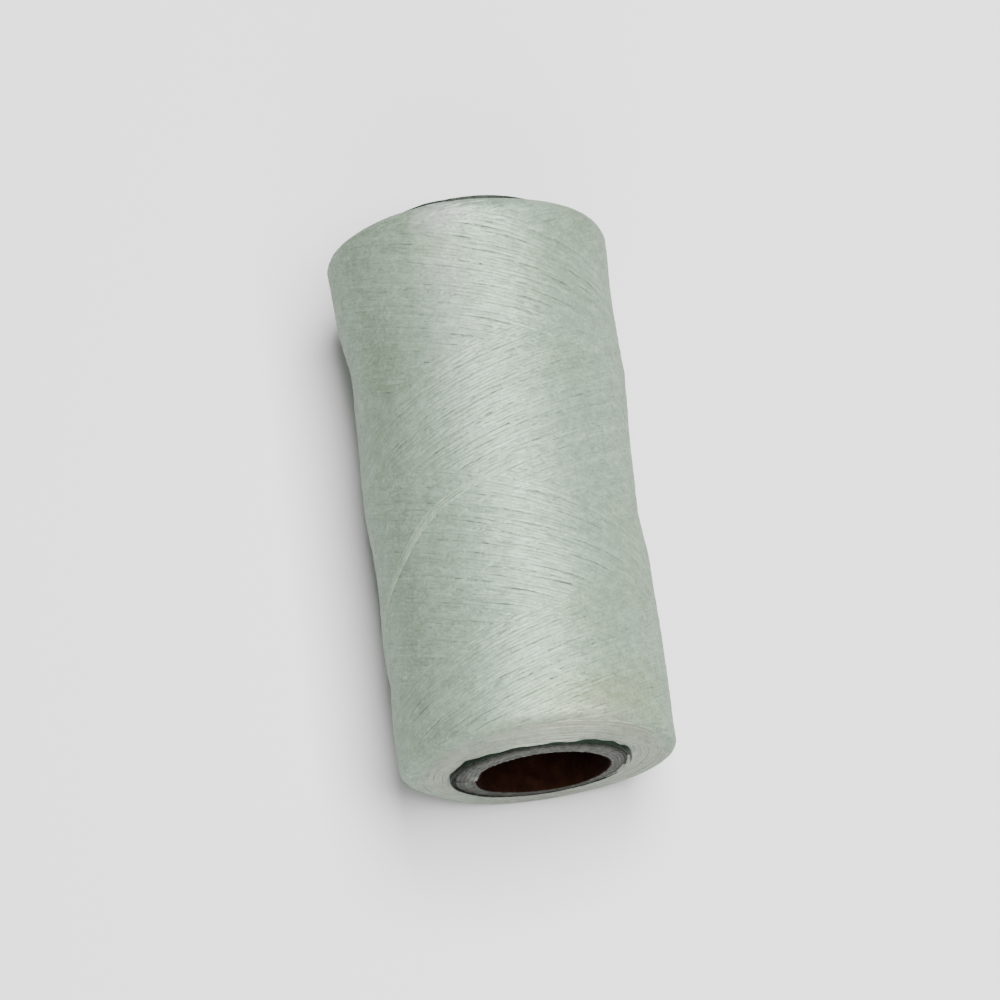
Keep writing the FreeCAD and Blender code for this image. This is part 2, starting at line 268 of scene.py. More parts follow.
# ------------------------------------------------------------ mesh in numbers
class Build:
    """Collects vertices, faces and one vector per vertex, in millimetres."""

    def __init__(self):
        self.v, self.f, self.a, self.n = [], [], [], 0

    def add(self, verts, faces, attr):
        self.v.append(verts)
        self.a.append(attr)
        self.f.append(np.asarray(faces, np.int64) + self.n)
        self.n += len(verts)

    def make(self, name, material, smooth=True):
        v = np.concatenate(self.v) * MM
        a = np.concatenate(self.a)
        quads = [f for f in self.f if f.ndim == 2 and f.shape[1] == 4]
        tris = [f for f in self.f if f.ndim == 2 and f.shape[1] == 3]
        q = np.concatenate(quads) if quads else np.zeros((0, 4), np.int64)
        t = np.concatenate(tris) if tris else np.zeros((0, 3), np.int64)
        mesh = bpy.data.meshes.new(name)
        mesh.vertices.add(len(v))
        mesh.vertices.foreach_set("co", v.astype(np.float32).ravel())
        loops = np.concatenate([q.ravel(), t.ravel()])
        starts = np.concatenate([np.arange(len(q)) * 4, len(q) * 4 + np.arange(len(t)) * 3])
        mesh.loops.add(len(loops))
        mesh.loops.foreach_set("vertex_index", loops.astype(np.int32))
        mesh.polygons.add(len(starts))
        mesh.polygons.foreach_set("loop_start", starts.astype(np.int32))
        mesh.update(calc_edges=True)
        mesh.validate()
        mesh.polygons.foreach_set("use_smooth", np.full(len(mesh.polygons), smooth))
        attribute = mesh.attributes.new("grain", "FLOAT_VECTOR", "POINT")
        attribute.data.foreach_set("vector", a.astype(np.float32).ravel())
        mesh.materials.append(material)
        mesh.update()
        piece = bpy.data.objects.new(name, mesh)
        bpy.context.scene.collection.objects.link(piece)
        return piece


# the flat thread's section: (across, up), each in half widths and half heights
SECTION = np.array([
    (-1.00, 0.00), (-0.80, 0.62), (-0.34, 0.96), (0.34, 0.96), (0.80, 0.62),
    (1.00, 0.00), (0.62, -0.80), (-0.62, -0.80)])


def strand(build, theta, s, lift, width, thick, key, tone=0.5, taper=True):
    """One run of flat thread over the winding's skin."""
    theta, s = np.asarray(theta, float), np.asarray(s, float)
    centre = skin(theta, s, lift)
    n = normals(theta, s)
    along = np.gradient(centre, axis=0)
    along = along - n * (along * n).sum(-1, keepdims=True)
    along /= np.maximum(np.linalg.norm(along, axis=-1, keepdims=True), 1e-12)
    across = np.cross(along, n)
    m, k = len(theta), len(SECTION)
    width = np.broadcast_to(width, (m,)).astype(float).copy()
    thick = np.broadcast_to(thick, (m,)).astype(float).copy()
    if taper:
        end = np.minimum(np.arange(m), np.arange(m)[::-1])
        near = np.clip(end / 2.0, 0.25, 1.0)
        width, thick = width * near, thick * near
    verts = (centre[:, None, :]
             + across[:, None, :] * (SECTION[:, 0][None, :, None] * width[:, None, None] / 2)
             + n[:, None, :] * (SECTION[:, 1][None, :, None] * thick[:, None, None] / 2))
    length = np.concatenate([[0], np.cumsum(np.linalg.norm(np.diff(centre, axis=0), axis=1))])
    attr = np.zeros((m, k, 3))
    attr[..., 0] = length[:, None]
    attr[..., 1] = SECTION[:, 0][None, :] * width[:, None] / 2 + key * 3.0
    attr[..., 2] = tone
    i = np.arange(m - 1)[:, None] * k
    j = np.arange(k)[None, :]
    j2 = (j + 1) % k
    faces = np.stack([i + j, i + j2, i + k + j2, i + k + j], -1).reshape(-1, 4)
    caps = np.array([(7, 2, 1, 0), (7, 6, 3, 2), (6, 5, 4, 3)])
    build.add(verts.reshape(-1, 3), np.concatenate([faces, caps, caps[:, ::-1] + (m - 1) * k]),
              attr.reshape(-1, 3))


# ------------------------------------------------------------------ materials
def new_material(name):
    m = bpy.data.materials.new(name)
    m.use_nodes = True
    nodes, links = m.node_tree.nodes, m.node_tree.links
    shader = nodes["Principled BSDF"]
    return m, nodes, links, shader


def node(nodes, kind, **values):
    n = nodes.new(kind)
    for key, value in values.items():
        if key in n.inputs:
            n.inputs[key].default_value = value
        else:
            setattr(n, key, value)
    return n


def mix(nodes, links, a, b, factor, blend="MIX"):
    m = nodes.new("ShaderNodeMix")
    m.data_type = "RGBA"
    m.blend_type = blend
    for socket, value in ((m.inputs[6], a), (m.inputs[7], b), (m.inputs[0], factor)):
        if isinstance(value, bpy.types.NodeSocket):
            links.new(value, socket)
        else:
            socket.default_value = value
    return m.outputs[2]


def ramp(nodes, links, value, *stops):
    r = nodes.new("ShaderNodeValToRGB")
    links.new(value, r.inputs[0])
    while len(r.color_ramp.elements) < len(stops):
        r.color_ramp.elements.new(0.5)
    for element, (place, colour) in zip(r.color_ramp.elements, stops):
        element.position = place
        element.color = colour if len(colour) == 4 else (*colour, 1)
    return r.outputs[0]


def maths(nodes, links, operation, a, b=0.0, c=0.0):
    m = nodes.new("ShaderNodeMath")
    m.operation = operation
    for socket, value in zip(m.inputs, (a, b, c)):
        if isinstance(value, bpy.types.NodeSocket):
            links.new(value, socket)
        else:
            socket.default_value = value
    return m.outputs[0]


def spot(nodes, links, coords, centre, radius):
    """1 at a place on the object, falling to 0 at radius (x, y, z), in metres."""
    shift = nodes.new("ShaderNodeVectorMath")
    shift.operation = "SUBTRACT"
    links.new(coords, shift.inputs[0])
    shift.inputs[1].default_value = centre
    scale = nodes.new("ShaderNodeVectorMath")
    scale.operation = "DIVIDE"
    links.new(shift.outputs[0], scale.inputs[0])
    scale.inputs[1].default_value = radius
    size = nodes.new("ShaderNodeVectorMath")
    size.operation = "LENGTH"
    links.new(scale.outputs[0], size.inputs[0])
    return ramp(nodes, links, size.outputs["Value"], (0.25, (1, 1, 1)), (1.0, (0, 0, 0)))


def thread_material(name, pale, deep, rough, pearl=0.46):
    """Waxed, slightly pearly flat thread: fine filaments along each strand, tone
    differing from strand to strand, faint stains and a few specks."""
    m, nodes, links, shader = new_material(name)
    grain = nodes.new("ShaderNodeAttribute")
    grain.attribute_name = "grain"
    split = nodes.new("ShaderNodeSeparateXYZ")
    links.new(grain.outputs["Vector"], split.inputs[0])
    place = nodes.new("ShaderNodeTexCoord")
    coords = place.outputs["Object"]

    def along(stretch, across, detail=3.0):
        scaled = nodes.new("ShaderNodeCombineXYZ")
        links.new(maths(nodes, links, "MULTIPLY", split.outputs[0], stretch), scaled.inputs[0])
        links.new(maths(nodes, links, "MULTIPLY", split.outputs[1], across), scaled.inputs[1])
        n = node(nodes, "ShaderNodeTexNoise", Scale=1.0, Detail=detail, Roughness=0.55)
        links.new(scaled.outputs[0], n.inputs["Vector"])
        return n.outputs["Fac"]

    filaments = along(0.20, 7.5)
    streaks = along(0.26, 2.3, 3.0)
    tone = split.outputs[2]

    body = mix(nodes, links, (*deep, 1), (*pale, 1),
               ramp(nodes, links, maths(nodes, links, "ADD",
                                        maths(nodes, links, "MULTIPLY", streaks, 0.7),
                                        maths(nodes, links, "MULTIPLY", tone, 0.6)),
                    (0.32, (0, 0, 0)), (0.86, (1, 1, 1))))
    body = mix(nodes, links, body, (*(0.90 * c for c in deep), 1),
               ramp(nodes, links, filaments, (0.30, (0.55, 0.55, 0.55)), (0.52, (0, 0, 0))))
    # broad, faint stains
    cloud = node(nodes, "ShaderNodeTexNoise", Scale=38.0, Detail=2.0, Roughness=0.5)
    links.new(coords, cloud.inputs["Vector"])
    body = mix(nodes, links, body, (0.72, 0.66, 0.50, 1),
               ramp(nodes, links, cloud.outputs["Fac"], (0.56, (0, 0, 0)), (0.80, (0.30, 0.30, 0.30))),
               "MULTIPLY")
    # a darker grey patch low on the left; then a warm tinge by each rim, a few stains, and a band of painted shade
    # down the left side
    body = mix(nodes, links, body, (0.12, 0.125, 0.10, 1),
               maths(nodes, links, "MULTIPLY",
                     spot(nodes, links, coords, (-0.0176, -0.0510, 0.0195), (0.0040, 0.0024, 0.0070)),
                     ramp(nodes, links, filaments, (0.35, (0.62, 0.62, 0.62)), (0.62, (0.10, 0.10, 0.10)))))
    for centre, radius, colour, much in (
            ((-0.0060, 0.0500, 0.0260), (0.0100, 0.0045, 0.010), (0.97, 0.86, 0.88, 1), 0.45),
            ((0.0080, -0.0500, 0.0250), (0.0130, 0.0070, 0.012), (0.98, 0.90, 0.72, 1), 0.60),
            ((0.0180, -0.0480, 0.0180), (0.0110, 0.0100, 0.016), (0.95, 0.90, 0.70, 1), 0.50),
            ((0.0150, 0.0180, 0.0220), (0.0090, 0.0060, 0.010), (0.80, 0.76, 0.58, 1), 0.25),
            ((0.0225, 0.0490, 0.0140), (0.0075, 0.0085, 0.0140), (0.84, 0.84, 0.78, 1), 0.80),
            ((0.0000, -0.0560, -0.0230), (0.0300, 0.0100, 0.0120), (0.97, 0.89, 0.93, 1), 1.00),
            # painted shade: a long, slightly darker band down the left side, where it turns away from the key light
            ((-0.0215, 0.0000, 0.0155), (0.0060, 0.1500, 0.0085), (0.84, 0.85, 0.82, 1), 1.00),
            ((-0.0190, 0.0230, 0.0170), (0.0080, 0.0100, 0.010), (0.62, 0.64, 0.50, 1), 0.35)):
        body = mix(nodes, links, body, colour,
                   maths(nodes, links, "MULTIPLY", spot(nodes, links, coords, centre, radius), much),
                   "MULTIPLY")
    for centre, radius, colour, much in (
            # painted highlight: a lighter patch at the upper left of the far shoulder
            ((-0.0045, 0.0495, 0.0260), (0.0075, 0.0050, 0.010), (0.46, 0.46, 0.46, 1), 0.34),
            # painted highlight: lighter down the middle of the far half, widening the highlight band
            ((-0.0062, 0.0280, 0.0255), (0.0065, 0.0320, 0.0100), (0.40, 0.44, 0.41, 1), 0.30),
            # painted light: a lighter, warmer band along the top of the near rim, where it faces the front light
            ((0.0050, -0.0548, 0.0220), (0.0190, 0.0062, 0.0075), (0.40, 0.42, 0.34, 1), 0.60)):
        body = mix(nodes, links, body, colour,
                   maths(nodes, links, "MULTIPLY", spot(nodes, links, coords, centre, radius), much))
    # lint and bloom of the wax
    lint = node(nodes, "ShaderNodeTexNoise", Scale=1500.0, Detail=3.0, Roughness=0.75)
    links.new(coords, lint.inputs["Vector"])
    body = mix(nodes, links, body, (*(0.62 * c for c in deep), 1),
               ramp(nodes, links, lint.outputs["Fac"], (0.34, (0.40, 0.40, 0.40)), (0.47, (0, 0, 0))))
    body = mix(nodes, links, body, (*(min(1.0, 1.22 * c) for c in pale), 1),
               ramp(nodes, links, lint.outputs["Fac"], (0.54, (0, 0, 0)), (0.66, (0.40, 0.40, 0.40))))
    mottle = node(nodes, "ShaderNodeTexNoise", Scale=430.0, Detail=3.0, Roughness=0.6)
    links.new(coords, mottle.inputs["Vector"])
    body = mix(nodes, links, body, (0.82, 0.83, 0.82, 1),
               ramp(nodes, links, mottle.outputs["Fac"], (0.36, (1, 1, 1)), (0.64, (0, 0, 0))), "MULTIPLY")
    # a few dust specks
    cells = node(nodes, "ShaderNodeTexVoronoi", Scale=150.0, Randomness=1.0)
    links.new(coords, cells.inputs["Vector"])
    near = ramp(nodes, links, cells.outputs["Distance"], (0.040, (1, 1, 1)), (0.060, (0, 0, 0)))
    few = node(nodes, "ShaderNodeSeparateColor")
    links.new(cells.outputs["Color"], few.inputs[0])
    rare = maths(nodes, links, "GREATER_THAN", few.outputs[0], 0.965)
    body = mix(nodes, links, body, (0.035, 0.035, 0.03, 1),
               maths(nodes, links, "MULTIPLY", maths(nodes, links, "MULTIPLY", near, rare), 0.85))
    links.new(body, shader.inputs["Base Color"])

    links.new(ramp(nodes, links, filaments, (0.30, (rough + 0.12,) * 3), (0.70, (rough - 0.06,) * 3)),
              shader.inputs["Roughness"])
    fuzz = along(0.55, 2.1, 5.0)
    bump = node(nodes, "ShaderNodeBump", Strength=1.0, Distance=0.00015)
    links.new(maths(nodes, links, "ADD", maths(nodes, links, "MULTIPLY", filaments, 0.35), fuzz),
              bump.inputs["Height"])
    links.new(bump.outputs[0], shader.inputs["Normal"])
    shader.inputs["Specular IOR Level"].default_value = 0.35
    shader.inputs["Specular Tint"].default_value = (0.40, 0.40, 0.40, 1)
    shader.inputs["Metallic"].default_value = pearl
    return m


def paper_material(name, colours, scale, fibre, rough, bump_mm, gloss=0.2, low_darkening=0.0, lighter_places=()):
    """Paper or board: mottled pulp with short fibres, darker towards the bottom where asked, and places that are
    lighter.
    """
    m, nodes, links, shader = new_material(name)
    place = nodes.new("ShaderNodeTexCoord")
    coords = place.outputs["Object"]
    pulp = node(nodes, "ShaderNodeTexNoise", Scale=scale, Detail=6.0, Roughness=0.62)
    links.new(coords, pulp.inputs["Vector"])
    hairs = node(nodes, "ShaderNodeTexNoise", Scale=fibre, Detail=4.0, Roughness=0.7,
                 Distortion=1.6)
    stretch = nodes.new("ShaderNodeMapping")
    stretch.inputs["Scale"].default_value = (1.0, 0.35, 1.0)
    links.new(coords, stretch.inputs["Vector"])
    links.new(stretch.outputs[0], hairs.inputs["Vector"])
    low, mid, high = colours
    body = ramp(nodes, links, pulp.outputs["Fac"], (0.28, low), (0.50, mid), (0.74, high))
    body = mix(nodes, links, body, (*(0.55 * c for c in low), 1),
               ramp(nodes, links, hairs.outputs["Fac"], (0.30, (0.6, 0.6, 0.6)), (0.46, (0, 0, 0))))
    body = mix(nodes, links, body, (*(min(1.0, 1.25 * c) for c in high), 1),
               ramp(nodes, links, hairs.outputs["Fac"], (0.60, (0, 0, 0)), (0.74, (0.5, 0.5, 0.5))))
    if low_darkening:
        # darker towards the bottom, with a ragged noisy edge
        low_down = nodes.new("ShaderNodeSeparateXYZ")
        links.new(coords, low_down.inputs[0])
        depth = maths(nodes, links, "MULTIPLY_ADD", low_down.outputs[2], -60.0, -0.05)
        ragged_noise = node(nodes, "ShaderNodeTexNoise", Scale=210.0, Detail=3.0, Roughness=0.6)
        links.new(coords, ragged_noise.inputs["Vector"])
        depth = maths(nodes, links, "ADD", depth, maths(nodes, links, "MULTIPLY_ADD", ragged_noise.outputs["Fac"], 0.8, -0.4))
        body = mix(nodes, links, body, (0.22, 0.21, 0.16, 1),
                   ramp(nodes, links, depth, (0.0, (0, 0, 0)), (0.75, (low_darkening, low_darkening, low_darkening))), "MULTIPLY")
    # listed places made lighter, most where the fibres show
    for where, reach, colour in lighter_places:
        body = mix(nodes, links, body, (*colour, 1),
                   maths(nodes, links, "MULTIPLY", spot(nodes, links, coords, where, reach),
                         ramp(nodes, links, hairs.outputs["Fac"], (0.38, (0.2, 0.2, 0.2)), (0.58, (1, 1, 1)))))
    links.new(body, shader.inputs["Base Color"])
    links.new(ramp(nodes, links, pulp.outputs["Fac"], (0.3, (rough + 0.08,) * 3),
                   (0.7, (rough - 0.06,) * 3)), shader.inputs["Roughness"])
    bump = node(nodes, "ShaderNodeBump", Strength=0.6, Distance=bump_mm * MM)
    links.new(hairs.outputs["Fac"], bump.inputs["Height"])
    links.new(bump.outputs[0], shader.inputs["Normal"])
    shader.inputs["Specular IOR Level"].default_value = gloss
    return m


THREAD = thread_material("waxed_thread", (0.293, 0.375, 0.293), (0.168, 0.227, 0.165), 0.50, 0.45)
THREAD_EDGE = thread_material("waxed_thread_edge", (0.292, 0.328, 0.275), (0.217, 0.252, 0.199), 0.60, 0.08)
THREAD_END = thread_material("waxed_thread_end", (0.325, 0.402, 0.314), (0.238, 0.306, 0.229), 0.50, 0.40)
BOARD = paper_material("grey_board", ((0.051, 0.053, 0.047), (0.080, 0.083, 0.075), (0.114, 0.117, 0.106)),
                       900.0, 2600.0, 0.86, 0.10, low_darkening=0.85,
                       lighter_places=(((-0.0124, -0.0558, 0.0012), (0.0017, 0.02, 0.0026), (0.190, 0.195, 0.175)),))
BOARD_DARK = paper_material("grey_board_glue", ((0.033, 0.033, 0.029), (0.056, 0.057, 0.050), (0.084, 0.084, 0.075)),
                            900.0, 2600.0, 0.86, 0.10, low_darkening=0.85)
# the outer two plies are much darker, the outermost darkest, each a little lighter at one side
BOARD_DARKEST = paper_material("grey_board_darkest", ((0.006, 0.0095, 0.007), (0.012, 0.017, 0.0125), (0.029, 0.034, 0.027)),
                            900.0, 2600.0, 0.86, 0.10, low_darkening=0.5,
                            lighter_places=(((0.0172, -0.0558, -0.0010), (0.0065, 0.02, 0.0110), (0.078, 0.080, 0.072)),))
BOARD_DARKER = paper_material("grey_board_darker",
                               ((0.014, 0.016, 0.012), (0.025, 0.028, 0.022), (0.044, 0.048, 0.040)),
                               900.0, 2600.0, 0.86, 0.10, low_darkening=0.6,
                               lighter_places=(((-0.0165, -0.0558, 0.0000), (0.0050, 0.02, 0.0090), (0.066, 0.070, 0.062)),))
# dark brown kraft, made near black so that it also stands for the shade deep in the bore: partly painted shade
KRAFT_AND_BORE_SHADE = paper_material("brown_kraft_and_bore_shade", ((0.0050, 0.0016, 0.0007), (0.0092, 0.0028, 0.0012), (0.0155, 0.0051, 0.0025)),
                       420.0, 2000.0, 0.85, 0.05, gloss=0.04)
GREEN = paper_material("green_wrap", ((0.0034, 0.0070, 0.0042), (0.0068, 0.0132, 0.0082), (0.0120, 0.0220, 0.0140)),
                       500.0, 1800.0, 0.76, 0.03, gloss=0.10,
                       lighter_places=(((0.0, 0.0558, 0.0172), (0.017, 0.0036, 0.007), (0.045, 0.053, 0.045)),
                              ((0.0180, -0.0558, -0.0010), (0.0036, 0.02, 0.0075), (0.090, 0.096, 0.085)),
                              ((-0.0180, -0.0558, -0.0005), (0.0036, 0.02, 0.0065), (0.034, 0.042, 0.034))))

# -------------------------------------------------------- the winding's body
# A closed skin just under the outer strands, so that nothing shows through a gap.
STRAND_T = 0.24
STACK = 0.15                     # how much lower the oldest strand lies
UNDER = -0.30


def winding_body():
    build = Build()
    theta = np.arange(0, 360, 2.0)
    side = np.linspace(W_LOW + 5.2, W_HIGH - 4.2, 140)
    rows = []
    for i in range(9):                                  # near face, outwards
        rows.append(("near", i / 8.0))
    rows += [("s", s) for s in np.linspace(0, 1, 14)[1:-1]]     # near rim
    rows += [("y", s) for s in side]
    rows += [("t", s) for s in np.linspace(0, 1, 14)[1:-1]]     # far rim
    for i in range(9):
        rows.append(("far", 1 - i / 8.0))
    grid = []
    for kind, q in rows:
        if kind == "near":
            edge = near_edge(theta)
            inner = face_s(theta, CORE_R + 0.02, True)
            s = inner + (edge - inner) * q
        elif kind == "s":
            s = near_edge(theta) * (1 - q) + (W_LOW + 5.2) * q
        elif kind == "y":
            s = np.full_like(theta, q)
        elif kind == "t":
            b = w_high(theta) - far_round(theta)
            s = (W_HIGH - 4.2) * (1 - q) + (b + far_round(theta) * np.pi / 2) * q
        else:
            b = w_high(theta) - far_round(theta)
            edge = b + far_round(theta) * np.pi / 2
            inner = face_s(theta, CORE_R + 0.02, False)
            s = inner + (edge - inner) * q
        grid.append(skin(theta, s, UNDER if kind in "sty" else UNDER))
    grid = np.array(grid)
    m, k = grid.shape[:2]
    i = np.arange(m - 1)[:, None] * k
    j = np.arange(k)[None, :]
    j2 = (j + 1) % k
    faces = np.stack([i + j, i + j2, i + k + j2, i + k + j], -1).reshape(-1, 4)
    attr = np.zeros((m, k, 3))
    attr[..., 0] = theta[None, :] * 0.47
    attr[..., 1] = grid[..., 1]
    attr[..., 2] = 0.2
    # close it along the tube
    close = np.stack([(m - 1) * k + j[0], (m - 1) * k + j2[0], j2[0], j[0]], -1)
    build.add(grid.reshape(-1, 3), np.concatenate([faces, close]), attr.reshape(-1, 3))
    return build.make("winding_under_layers", THREAD_EDGE)


# --------------------------------------------------------------- the strands
# The last full layers of the cross winding. Each strand climbs (or falls) at the
# same angle; each new one lies beside the last of its own hand and over the
# older ones of the other. age is 0 for the newest strand of a hand and goes to 1
# for the oldest, and sets how low it lies.
PITCH = 55.0                     # climb in one turn
WIDTH = 0.98
COUNT = 78                       # strands of each hand
RISE_FRONT = 24.4                # where the newest rising strand crosses the top
FALL_FRONT = -3.6                # where the newest falling strand crosses the top
EASE = 58.0                      # degrees over which a strand turns back


crossing = {}
for hand_ in (1, -1):
    r_ = np.random.default_rng(61 + hand_)
    n_ = r_.integers(9, 27, 14)
    a_ = r_.normal(0, 1, 14)
    a_ = a_ / np.sqrt((a_ ** 2).sum() / 2) * 0.5
    crossing[hand_] = (n_, a_, r_.uniform(0, 2 * np.pi, 14))


def under_run(hand, theta, s):
    """The ridges of the other hand's strands, felt through this one."""
    n, a, p = crossing[hand]
    q = s + hand * PITCH * theta / 360.0
    return (a * np.sin(2 * np.pi * n * q[:, None] / PITCH + p)).sum(-1)


def stroke(build, hand, index, key):
    """One stroke of the winding, from rim to rim."""
    r = np.random.default_rng(1000 * (1 + hand) + index)
    age = (index + 0.5) / COUNT
    front = RISE_FRONT if hand > 0 else FALL_FRONT
    place = front - age * PITCH + r.normal(0, 0.06)      # where it crosses the top
    low = W_LOW + 2.7 - r.uniform(0.9, 3.6) - (r.uniform(0, 6.0) if r.random() < 0.45 else 0.0)
    high = W_HIGH - 3.2 + r.uniform(0.9, 4.0) + (r.uniform(0, 5.0) if r.random() < 0.35 else 0.0)
    slope = PITCH / 360.0
    run = (high - low) / slope + EASE                    # degrees turned in a stroke
    tail = 22.0
    phi = np.arange(-tail, run + tail + 0.01, 2.1)
    s = np.empty_like(phi)
    up = np.clip(phi, 0, run)
    start = low + slope * np.clip(up, 0, EASE) ** 2 / (2 * EASE)
    end = high - slope * np.clip(run - up, 0, EASE) ** 2 / (2 * EASE)
    s = np.where(up < EASE, start, np.where(up > run - EASE, end,
                                            low + slope * (up - EASE / 2)))
    # the angle at which the straight part would cross place at the top
    theta0 = -(place - low) / slope - EASE / 2
    theta = theta0 + phi if hand > 0 else -(theta0 + phi)
    side = drift(7000 * (2 + hand) + index, 24.0, 5)
    nudge = drift(7700 * (2 + hand) + index, 5.5, 7)
    lie = drift(9000 * (2 + hand) + index, 3.6, 12)
    length = phi * 0.475
    s = s + 0.24 * side(length) + 0.06 * nudge(length)
    fade = np.clip(np.minimum(phi + tail, run + tail - phi) / tail, 0, 1)
    lift = (-STRAND_T / 2 - STACK * age - 0.11 * math.exp(-age / 0.055) + r.normal(0, 0.014)
            + 0.045 * lie(length) + 0.030 * under_run(hand, theta, s)
            - 0.45 * (1 - fade) ** 2)
    width = WIDTH * (1.02 + 0.11 * nudge(length * 0.8 + 40) + r.normal(0, 0.04))
    strand(build, theta, s, lift, width, STRAND_T * (1 + r.normal(0, 0.05)), key,
           tone=float(np.clip(0.5 + r.normal(0, 0.09), 0, 1)))


def strands():
    made = []
    order = []
    for index in range(COUNT):
        order.append((1, index))
        order.append((-1, index))
    groups = 5
    for g in range(groups):
        build = Build()
        for number, (hand, index) in enumerate(order):
            if number * groups // len(order) == g:
                stroke(build, hand, index, number)
        made.append(build.make("thread_strands_%d" % (g + 1), THREAD))
    return made


def end_arcs(near):
    """The turn-backs seen on an end face: thread on edge, in shallow arcs."""
    build = Build()
    r = np.random.default_rng(31 if near else 37)
    key = 0
    radius = CORE_R + 0.22
    while radius < 25.3:
        start = r.uniform(0, 360)
        arcs = int(r.integers(4, 6))
        for a in range(arcs):
            half = 360.0 / arcs / 2 * r.uniform(1.15, 1.5)
            mid = start + 360.0 * a / arcs + r.normal(0, 6)
            phi = np.arange(-half, half + 0.01, 2.8 * 20.0 / radius)
            t = phi / half
            theta = mid + phi
            bow = r.normal(0, 0.20)
            rr = radius + r.normal(0, 0.07) + bow * (t ** 2 - 0.4) + 0.10 * drift(int(r.integers(1e6)), 30, 3)(phi)
            rr = np.maximum(rr, CORE_R + 0.12)
            if near:
                rr = rr - 1.55 * slipped(theta) * math.exp(-(radius - CORE_R) / 1.3)
            s = face_s(theta, rr, near)
            lift = -0.14 + r.normal(0, 0.028) - 0.36 * np.abs(t) ** 3
            strand(build, theta, s, lift, 0.60 * (1 + r.normal(0, 0.08)), 0.26, key,
                   tone=float(np.clip(0.45 + r.normal(0, 0.11), 0, 1)))
            key += 1
        radius += 0.37 / (1 + 1.1 * math.exp(-(radius - CORE_R) / 1.3)) if near else 0.37
    return build.make("thread_face_near" if near else "thread_face_far", THREAD_EDGE)


body_piece = winding_body()
strand_pieces = strands()
face_near = end_arcs(True)
face_far = end_arcs(False)

# ------------------------------------------------------ the thread's outer end
# It comes round the right side with the rising strands, crosses the front, and
# slackens and spreads on the left, where it steepens and runs to the near rim.
TAIL = np.array([
    (-138.0, -44.5), (-122.0, -39.2), (-105.0, -33.6), (-88.0, -27.8), (-67.0, -20.2),
    (-54.0, -15.9), (-34.5, -9.1), (-17.0, -5.6), (-2.0, -3.1), (20.0, 0.5),
    (44.0, 3.8), (66.0, 7.2), (90.0, 11.0), (112.0, 14.4), (134.0, 17.8), (152.0, 20.6)])


def smooth_path(points, step):
    """Points along a Catmull-Rom curve through the route."""
    p = np.vstack([2 * points[0] - points[1], points, 2 * points[-1] - points[-2]])
    out = []
    for i in range(1, len(p) - 2):
        a, b, c, d = p[i - 1:i + 3]
        n = max(2, int(abs(c[0] - b[0]) / step))
        t = np.linspace(0, 1, n, endpoint=False)[:, None]
        out.append(0.5 * (2 * b + (c - a) * t + (2 * a - 5 * b + 4 * c - d) * t ** 2
                          + (3 * b - a - 3 * c + d) * t ** 3))
    out.append(points[-1][None])
    return np.vstack(out)


def outer_end():
    build = Build()
    path = smooth_path(TAIL, 1.8)
    theta, place = path[:, 0], path[:, 1]
    spread = 1 / (1 + np.exp((theta + 12.0) / 9.0))       # 1 on the left, 0 on the right
    ends = np.clip((theta + 138.0) / 10.0, 0, 1) * np.clip((152.0 - theta) / 8.0, 0, 1)
    for number, (offset, width, lift, seed) in enumerate((
            (0.00, 0.34, 0.05, 1), (0.46, 0.28, 0.02, 2), (-0.42, 0.30, 0.03, 3),
            (0.88, 0.24, -0.02, 4), (-0.78, 0.24, -0.03, 5))):
        wobble = drift(400 + seed, 26.0, 4)(theta * 0.47)
        away = offset * (0.50 + 0.62 * spread) + 0.16 * spread * wobble
        bare = np.exp(-((theta + 42.0) / 28.0) ** 6)          # where it lies proud
        up = (lift + 0.17) * bare - 0.17 - 0.40 * (1 - ends) ** 2
        strand(build, theta, place + away, up, width * (0.9 + 0.25 * spread), 0.24, number,
               tone=0.55 + 0.07 * (number % 3))
    return build.make("thread_outer_end_strands", THREAD_END)


outer_piece = outer_end()


